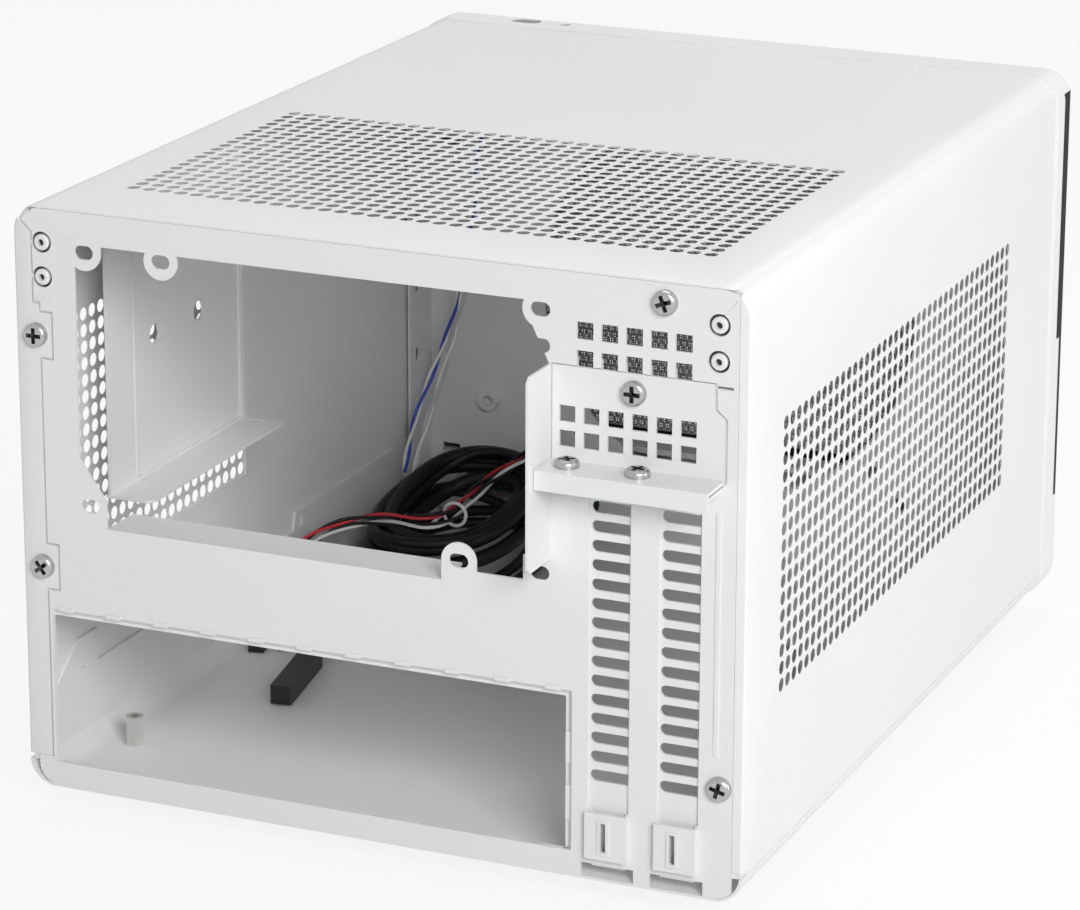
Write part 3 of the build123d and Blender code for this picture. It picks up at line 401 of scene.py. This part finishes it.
for name, lead in leads.items():
    places = walked(lead["points"], pair["step"])[0]
    for index, slotName in enumerate(lead["slots"]):
        points = strand(places, pair["step"], pair["reach"], pair["pitch"], index * math.pi)
        wire = path(name + ("", "Mate")[index], points, pair["wire"], slotName, 3)
        if index == 0:
            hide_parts(lead["node"])
        round(walked(points, 0.01)[1], 4)


heap = {"x": 0.073, "y": -0.081, "straight": 0.011, "slope": 0.16, "steps": 14, "floor": 0.0088}


def windings(start, keys):
    # Turns of a heaped cable: control points round a long loop. Each key has a turn, its width and its height.
    points = []
    total = round(keys[-1][0] * heap["steps"])
    for index in range(total + 1):
        turn = min(index / heap["steps"], keys[-1][0])
        after = next(place for place, key in enumerate(keys) if key[0] >= turn)
        low, high = keys[max(after - 1, 0)], keys[after]
        span = (turn - low[0]) / (high[0] - low[0]) if high[0] > low[0] else 1.0
        reach, lift = (low[part] + (high[part] - low[part]) * span for part in (1, 2))
        reach += math.sin(index * 1.7) * 0.0004
        angle = start + 2 * math.pi * turn
        east = heap["x"] + math.cos(angle) * reach
        bend = max(-1, min(1, 2.2 * math.sin(angle)))
        north = heap["y"] + math.sin(angle) * reach + heap["straight"] * bend
        rise = heap["slope"] * (heap["y"] - north) * (lift - heap["floor"]) / 0.026
        points.append((east, north, lift + rise + math.sin(index * 0.9) * 0.0003))
    return points


hanks = {
    "usbCable": {"diameter": 0.005, "angle": -1.25,
                 "keys": [(0.0, 0.0258, 0.0225), (1.0, 0.0262, 0.0290), (2.0, 0.0210, 0.0348),
                          (3.0, 0.0155, 0.0290), (3.41, 0.0225, 0.0160)],
                 "start": [(0.083, socket["y"], socket["z"]), (0.083, -0.1210, socket["z"])],
                 "end": [(0.0795, -0.0400, 0.0155), (0.0800, -0.0320, 0.0136), (0.0810, -0.0140, 0.0122),
                         (0.0796, 0.0040, 0.0122), (0.0766, 0.0205, 0.0122)],
                 "nodes": ["usb_cable", "usb_tail", "cable_coil"], "plug": "usb_plug"},
    "audioCable": {"diameter": 0.0036, "angle": -2.54,
                   "keys": [(0.0, 0.0250, 0.0170), (1.0, 0.0268, 0.0120), (2.0, 0.0205, 0.0140),
                            (2.6, 0.0262, 0.0345), (3.2, 0.0180, 0.0360), (3.73, 0.0235, 0.0180)],
                   "start": [(0.050, socket["y"], socket["z"]), (0.050, -0.1210, socket["z"]),
                             (0.0525, -0.1095, 0.0205)],
                   "end": [(0.0600, -0.0440, 0.0135), (0.0570, -0.0360, 0.0122), (0.0545, -0.0220, 0.0116),
                           (0.0540, -0.0105, 0.0116)],
                   "nodes": ["audio_cable", "audio_tail"], "plug": "audio_plug"},
}
for name, hank in hanks.items():
    points = hank["start"] + windings(hank["angle"], hank["keys"]) + hank["end"]
    length = walked(points, 0.01)[1]
    cord = path(name, points, hank["diameter"], "black_sheath", 5)
    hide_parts(*hank["nodes"])
print("cords done")


# Vented cover

# The shell in metres, and in millimetres the places on its rear fold, from the left edge and the underside
shellSize = {"sheet": 0.0008, "round": 0.008, "softEdge": 0.0007, "tray": 0.0075, "spare": 0.01}
cover = {"left": 7.3, "right": 3.0, "upper": 5.2, "upperFrom": 144.5, "ear": 169.8, "end": 9.2,
         "screws": (135.5, 67.0), "tab": 3.8, "rise": 6.5,
         "holes": ((6.5, 135.5), (6.5, 67.0), (213.2, 33.0), (196.0, 168.4)), "holeRadius": 0.0017}


def rearBlock(u0, u1, v0, v1, depth=(-4.0, 4.0)):
    # A block across the rear face, from places measured from its left edge and the underside.
    return slab((half - u1 * mm, rearY - depth[1] * mm, floorZ + v0 * mm),
                (half - u0 * mm, rearY - depth[0] * mm, floorZ + v1 * mm))


def rearDisc(place, radius, depth, sides):
    # A round bar or disc that points out of the rear face.
    clearSelection()
    bpy.ops.mesh.primitive_cylinder_add(vertices=sides, radius=radius, depth=depth, location=place,
                                        rotation=(math.pi / 2, 0, 0))
    return bpy.context.object


def flangeBlocks():
    # What stays of the fold round the back: the left side up to a slant corner, and the right edge.
    blocks = [rearBlock(-5, cover["left"], -5, cover["upperFrom"])]
    for v in cover["screws"]:
        blocks.append(rearBlock(-5, cover["left"] + cover["tab"], v - cover["rise"], v + cover["rise"]))
    ear = rearBlock(-5, cover["upper"], cover["upperFrom"] - 1, cover["ear"] + 2)
    corner = half - cover["upper"] * mm
    slant = (cover["upper"] + 2) * mm
    bevelEdges(ear, lambda a, b: abs(a.y - b.y) > 0.001 and min(a.z, b.z) > 0.17 and a.x < corner + 0.0001, slant, 1)
    return blocks + [ear, rearBlock(220 - cover["right"], 225, -5, 180)]


def roundedTube(inset, start, end, edge):
    # A long block with rounded corners, inset from the body's faces, and a soft edge at its end.
    block = slab((inset - half, start, floorZ + inset), (half - inset, end, topZ - inset))
    bevelEdges(block, lambda a, b: abs(a.y - b.y) > 0.1, shellSize["round"] - inset, 8)
    if edge:
        bevelEdges(block, lambda a, b: min(a.y, b.y) > end - 0.0001, edge, 3)
    return block


vents = {
    "ventTop": {"columns": 36, "rows": 21, "middle": (0.0, rearY - 0.0785, topZ), "turn": (0, 0, 0)},
    "ventRight": {"columns": 40, "rows": 16, "middle": (-half, rearY - 0.1255, floorZ + 0.0915),
                  "turn": (90, 0, 270)},
    "ventLeft": {"columns": 21, "rows": 16, "middle": (half, rearY - 0.0820, floorZ + 0.0935), "turn": (90, 0, 90)},
}
vent = {"pitch": 0.005, "radius": 0.0020, "sides": 12, "sheet": 0.0002}


def ventSheet(name, columns, rows, middle, turn):
    # One square cell with a round hole, repeated in both directions and thickened.
    clearSelection()
    bpy.ops.mesh.primitive_plane_add(size=vent["pitch"], location=(0, 0, 0))
    sheet = bpy.context.object
    bpy.ops.object.mode_set(mode="EDIT")
    bpy.ops.mesh.subdivide(number_cuts=2)
    bpy.ops.mesh.select_mode(type="VERT")
    bpy.ops.mesh.select_all(action="SELECT")
    bpy.ops.mesh.region_to_loop()
    bpy.ops.mesh.select_mode(type="VERT")
    bpy.ops.mesh.select_all(action="INVERT")
    bpy.ops.mesh.delete(type="VERT")
    bpy.ops.mesh.primitive_circle_add(vertices=vent["sides"], radius=vent["radius"], location=(0, 0, 0),
                                      rotation=(0, 0, math.radians(15)))
    bpy.ops.mesh.select_all(action="SELECT")
    bpy.ops.mesh.bridge_edge_loops()
    bpy.ops.mesh.normals_make_consistent(inside=False)
    bpy.ops.object.mode_set(mode="OBJECT")
    arrayed(sheet, columns, (vent["pitch"], 0, 0))
    arrayed(sheet, rows, (0, vent["pitch"], 0))
    only(sheet)
    offset = Vector(((columns - 1) * vent["pitch"] / 2, (rows - 1) * vent["pitch"] / 2, 0))
    sheet.location = -offset
    bpy.ops.object.transform_apply(location=True, rotation=True, scale=True)
    if sheet.data.polygons[0].normal.z < 0:
        bpy.ops.object.mode_set(mode="EDIT")
        bpy.ops.mesh.select_all(action="SELECT")
        bpy.ops.mesh.flip_normals()
        bpy.ops.object.mode_set(mode="OBJECT")
    thick = sheet.modifiers.new("thickness", "SOLIDIFY")
    thick.thickness = vent["sheet"]
    thick.offset = -1
    applyAll(sheet)
    sheet.rotation_euler = [math.radians(angle) for angle in turn]
    sheet.location = middle
    settle(sheet, name, "white_steel")
    return sheet


def coverShell():
    sheet = shellSize["sheet"]
    spare = shellSize["spare"]
    shell = roundedTube(0.0, seamY, rearY, shellSize["softEdge"])
    cutAway(shell, [roundedTube(sheet, seamY - spare, rearY - sheet, 0)])
    window = roundedTube(sheet, rearY - 0.002, rearY + 0.002, 0)
    for block in flangeBlocks():
        cutAway(window, [block])
    cutAway(shell, [window, rearBlock(-1, 221, -3, cover["end"])])
    windows = [slab((-half - spare, seamY - spare, 0), (half + spare, rearY + spare, floorZ + shellSize["tray"]))]
    for entry in vents.values():
        x, y, z = entry["middle"]
        wide = entry["columns"] * vent["pitch"] / 2
        tall = entry["rows"] * vent["pitch"] / 2
        if abs(x) < 0.01:
            windows.append(slab((x - wide, y - tall, z - 0.003), (x + wide, y + tall, z + 0.003)))
        else:
            windows.append(slab((x - 0.003, y - wide, z - tall), (x + 0.003, y + wide, z + tall)))
    cutAway(shell, windows)
    places = [(half - u * mm, rearY, floorZ + v * mm) for u, v in cover["holes"]]
    holes = [rearDisc(place, cover["holeRadius"], 0.006, 24) for place in places]
    cutAway(shell, holes)
    smooth(shell)
    return settle(shell, "ventedCover", "white_steel")


shell = coverShell()
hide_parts("outer_cover")
for name, entry in vents.items():
    ventSheet(name, **entry)
print("cover done")


# Honeycomb front

honeycomb = {"pitch": 0.0023, "hole": 0.00098, "sheet": 0.0006, "low": 0.040, "high": 0.175, "wall": 0.003,
             "step": 0.094, "upper": 0.0085, "lower": 0.0055, "half": 0.111, "shell": 0.001, "round": 0.0035,
             "lip": 0.002, "field": 0.107}


def hexSheet(columns, rows):
    # Hexagon rings laid edge to edge in two staggered sets of rows.
    pitch = honeycomb["pitch"]
    clearSelection()
    bpy.ops.mesh.primitive_circle_add(vertices=6, radius=pitch / math.sqrt(3), fill_type="NGON", location=(0, 0, 0))
    ring = bpy.context.object
    bpy.ops.object.mode_set(mode="EDIT")
    bpy.ops.mesh.select_all(action="SELECT")
    inset = (pitch / math.sqrt(3) - honeycomb["hole"]) * math.cos(math.pi / 6)
    bpy.ops.mesh.inset(thickness=inset, depth=0)
    bpy.ops.mesh.delete(type="FACE")
    bpy.ops.object.mode_set(mode="OBJECT")
    arrayed(ring, columns, (pitch, 0, 0))
    arrayed(ring, rows, (0, pitch * math.sqrt(3), 0))
    only(ring)
    bpy.ops.object.duplicate()
    other = bpy.context.object
    other.location = (pitch / 2, pitch * math.sqrt(3) / 2, 0)
    sheet = joined([ring, other])
    sheet.location = (-(columns - 0.5) * pitch / 2, -(rows - 0.5) * pitch * math.sqrt(3) / 2, 0)
    bpy.ops.object.transform_apply(location=True, rotation=True, scale=True)
    bpy.ops.object.mode_set(mode="EDIT")
    bpy.ops.mesh.select_all(action="SELECT")
    bpy.ops.mesh.remove_doubles(threshold=0.00002)
    bpy.ops.mesh.normals_make_consistent(inside=False)
    bpy.ops.object.mode_set(mode="OBJECT")
    return sheet


def meshFrame(low, high, reach):
    # Solid rim of one height of the mesh panel, bent round both sides.
    side, shell = honeycomb["half"], honeycomb["shell"]
    outer = slab((-side, frontY, low), (side, frontY + reach, high))
    side -= shell
    inner = slab((-side, frontY + shell, low - 0.01), (side, frontY + reach + 0.01, high + 0.01))
    for block, corner, depth in ((outer, honeycomb["round"], shell), (inner, honeycomb["round"] - shell, 2 * shell)):
        bevelEdges(block, lambda a, b: abs(a.z - b.z) > 0.01 and max(a.y, b.y) < frontY + depth, corner, 6)
    cutAway(outer, [inner])
    return outer


def frontMesh():
    # Two heights of rim with one opening, and a sheet of hexagons on each side of the middle.
    panel = honeycomb
    wall = panel["wall"]
    lap = 0.001  # each height is opened a little past the step between them
    side = panel["half"] - wall - panel["lip"]
    lower = meshFrame(panel["low"], panel["step"], panel["lower"])
    upper = meshFrame(panel["step"], panel["high"], panel["upper"])
    heights = ((lower, panel["low"] + wall, panel["step"] + lap), (upper, panel["step"] - lap, panel["high"] - wall))
    for piece, low, high in heights:
        cutAway(piece, [slab((-side, frontY - 0.01, low), (side, frontY + 0.01, high))])
    rim = joined([lower, upper])
    rows = int((panel["high"] - panel["low"] - wall) / (panel["pitch"] * math.sqrt(3)))
    columns = int(panel["field"] / panel["pitch"])
    for name, side in (("meshLeft", 1), ("meshRight", -1)):
        field = hexSheet(columns, rows)
        thick = field.modifiers.new("thickness", "SOLIDIFY")
        thick.thickness = panel["sheet"]
        thick.offset = -1
        applyAll(field)
        field.rotation_euler = (math.radians(90), 0, 0)
        field.location = (side * columns * panel["pitch"] / 2, frontY + 0.0003, (panel["low"] + panel["high"]) / 2)
        settle(field, name, "black_mesh")
    smooth(rim)
    settle(rim, "meshRim", "black_mesh")
    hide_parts("front_mesh")


frontMesh()


filterSheet = {"color": (0.33, 0.33, 0.335), "pitch": 0.0008, "share": -0.2, "half": 0.105,
               "low": 0.043, "high": 0.172, "front": 0.0012, "back": 0.0014}


def dustFilter():
    # A fine woven sheet behind the mesh, open between its threads.
    weave = Surface("filterWeave", filterSheet["color"], 0.6)
    across = weave.node("SeparateXYZ", {"Vector": weave.place}, "X")
    upward = weave.node("SeparateXYZ", {"Vector": weave.place}, "Z")
    waves = [(side * (2 * math.pi / filterSheet["pitch"])).maths("SINE") for side in (across, upward)]
    threads = [wave.maths("GREATER_THAN", filterSheet["share"]) for wave in waves]
    weave.feed("Alpha", threads[0].larger(threads[1]))
    sheet = slab((-filterSheet["half"], frontY + filterSheet["front"], filterSheet["low"]),
                 (filterSheet["half"], frontY + filterSheet["back"], filterSheet["high"]))
    settle(sheet, "dustFilter", "black_mesh", weave.material)


dustFilter()
print("mesh done")


# Cross-head screws

shelfTop = floorZ + 0.1200
screws = {
    "coverScrews": {"node": "cover_screws", "upright": False, "places": [
        (0.1035, rearY, 0.1435), (0.1035, rearY, 0.0750), (-0.1032, rearY, 0.0410), (-0.0860, rearY, 0.1749)]},
    "clampScrew": {"node": "clamp_screw", "upright": False, "places": [(-0.0774, rearY, 0.1490)]},
    "slotScrews": {"node": "slot_screws", "upright": True, "places": [
        (-0.0604, rearY + 0.0055, shelfTop), (-0.08072, rearY + 0.0055, shelfTop)]},
}


head = {"radius": 0.0035, "height": 0.0022, "round": 0.0013, "long": 0.0046, "narrow": 0.0012, "floor": 0.0004,
        "shank": 0.0016, "shade": 0.0001}


def turned(piece, place, turn):
    piece.rotation_euler = [math.radians(angle) for angle in turn]
    piece.location = place
    only(piece)
    bpy.ops.object.transform_apply(location=True, rotation=True, scale=True)
    return piece


def crossArms(low, high, less):
    # The two arms of the cross as blocks, smaller by the last value.
    long, narrow = head["long"] - less, head["narrow"] - less
    sides = ((long, narrow), (narrow, long))
    return [slab((-wide / 2, -deep / 2, low), (wide / 2, deep / 2, high)) for wide, deep in sides]


def paintedCrossShade(place, turn):
    # Painted shade: dark blocks on the floor of the cross, standing in for the shade in the deep recess.
    arms = crossArms(head["floor"] - head["shade"], head["floor"] + 2 * head["shade"], head["shade"])
    return turned(joined(arms), place, turn)


def crossHead(place, turn):
    # A domed head with a cross, made upright and then turned to its place.
    clearSelection()
    bpy.ops.mesh.primitive_cylinder_add(vertices=40, radius=head["radius"], depth=head["height"],
                                        location=(0, 0, head["height"] / 2))
    pan = bpy.context.object
    bpy.ops.object.transform_apply(location=True, rotation=True, scale=True)
    bevelEdges(pan, lambda a, b: min(a.z, b.z) > head["height"] - 0.0001, head["round"], 4)
    for arm in crossArms(head["floor"], 0.003, 0.0):
        cutAway(pan, [arm])
    bpy.ops.mesh.primitive_cylinder_add(vertices=24, radius=head["shank"], depth=0.006, location=(0, 0, -0.0028))
    pan = turned(joined([pan, bpy.context.object]), place, turn)
    smooth(pan)
    return pan


crossShades = []
for name, screw in screws.items():
    heads = []
    for index, place in enumerate(screw["places"]):
        turn = (0, 0, 30 + 40 * index) if screw["upright"] else (-90, 37 * index, 0)
        heads.append(crossHead(place, turn))
        # a dark cross of painted shade in each screw recess
        crossShades.append(paintedCrossShade(place, turn))
    group = joined(heads)
    settle(group, name, "plated_steel")
    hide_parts(screw["node"])
settle(joined(crossShades), "paintedCrossShades", "black_plastic")


# The dark bore and seat discs of the rivets are painted shade.
rivet = {"across": 0.1012, "heights": (0.1604, 0.1704),
         "core": {"radius": 0.00098, "depth": 0.001, "sides": 20, "inward": 0.0012},
         "seat": {"radius": 0.00302, "depth": 0.0002, "sides": 40, "inward": 0.00085}}


def paintedRivetShade():
    # Painted shade: a dark stub in the bore where a pulled rivet keeps its stub, and a dark disc round its head
    # where shade falls.
    shadeDiscs = []
    for x in (-rivet["across"], rivet["across"]):
        for z in rivet["heights"]:
            for disc in (rivet["core"], rivet["seat"]):
                shadeDiscs.append(rearDisc((x, rearY - disc["inward"], z), disc["radius"], disc["depth"], disc["sides"]))
    settle(joined(shadeDiscs), "paintedRivetShade", "black_plastic")


paintedRivetShade()
print("screws done")


# Soft edges on the folded and moulded parts

edges = {"rear_panel": 0.18, "slot_clamp": 0.2, "psu_bracket": 0.2, "base_tray": 0.15, "front_wall": 0.15,
         "slot_cover_1": 0.12, "slot_cover_2": 0.12, "rail_left": 0.15, "rail_right": 0.15, "front_bezel": 0.2,
         "rivets": 0.15}
for nodeName, width in edges.items():
    softened = frame["nodes"][nodeName].modifiers.new("softEdge", "BEVEL")
    softened.width = width * mm
    softened.segments = 2
    softened.limit_method = "ANGLE"
    softened.angle_limit = math.radians(50)
    softened.harden_normals = True
print("edges done")


# Stage and light

aim = Vector((0, 0, 0.1))
lamps = {
    "keyLight": {"place": (-1.15, 1.4, 1.0), "size": 0.8, "power": 29},
    "sideLight": {"place": (-1.8, -0.3, 0.5), "size": 1.0, "power": 8},
    "topLight": {"place": (0.1, -0.6, 1.6), "size": 1.2, "power": 13},
}
background = {"floor": 0.86, "light": 0.2}  # how white the floor shows, and the soft light from all round


def lamp(name, place, size, power):
    data = bpy.data.lights.new(name, "AREA")
    data.shape = "RECTANGLE"
    data.size = data.size_y = size
    data.energy = power
    light = bpy.data.objects.new(name, data)
    light.location = place
    light.rotation_euler = (aim - Vector(place)).to_track_quat("-Z", "Y").to_euler()
    bpy.context.collection.objects.link(light)


clearSelection()
bpy.ops.mesh.primitive_grid_add(x_subdivisions=8, y_subdivisions=8, size=12, location=(0, 0, 0))
ground = bpy.context.object
ground.name = "ground"


def backgroundRays(tree):
    # One for rays that come from the camera, a mirror or glass, and nought for the others.
    rays = tree.nodes.new("ShaderNodeLightPath")
    kinds = ("Camera", "Glossy", "Transmission")
    camera, glossy, through = (Wire(tree, rays.outputs[f"Is {kind} Ray"]) for kind in kinds)
    return camera.larger(glossy).larger(through)


def mixShaders(tree, factor, first, second, output):
    blend = tree.nodes.new("ShaderNodeMixShader")
    tree.links.new(factor.socket, blend.inputs["Fac"])
    tree.links.new(first.outputs[0], blend.inputs[1])
    tree.links.new(second.outputs[0], blend.inputs[2])
    tree.links.new(blend.outputs[0], tree.nodes[output].inputs["Surface"])


paper = Surface("paper", (0.8, 0.8, 0.8), 0.9)
glow = paper.tree.nodes.new("ShaderNodeEmission")
glow.inputs["Strength"].default_value = 1.0
shownFloor = backgroundRays(paper.tree) * background["floor"]
mixShaders(paper.tree, shownFloor, paper.shader, glow, "Material Output")
ground.data.materials.append(paper.material)

world = bpy.data.worlds.new("studio")
world.use_nodes = True
bpy.context.scene.world = world
sky = world.node_tree
backdrop = sky.nodes["Background"]
backdrop.inputs["Color"].default_value = (1, 1, 1, 1)
backdrop.inputs["Strength"].default_value = background["light"]
bright = sky.nodes.new("ShaderNodeBackground")
bright.inputs["Strength"].default_value = 1.0
mixShaders(sky, backgroundRays(sky), backdrop, bright, "World Output")
for name, entry in lamps.items():
    lamp(name, **entry)
bpy.context.scene.view_settings.view_transform = "Standard"
print("stage done")

bpy.context.view_layer.update()
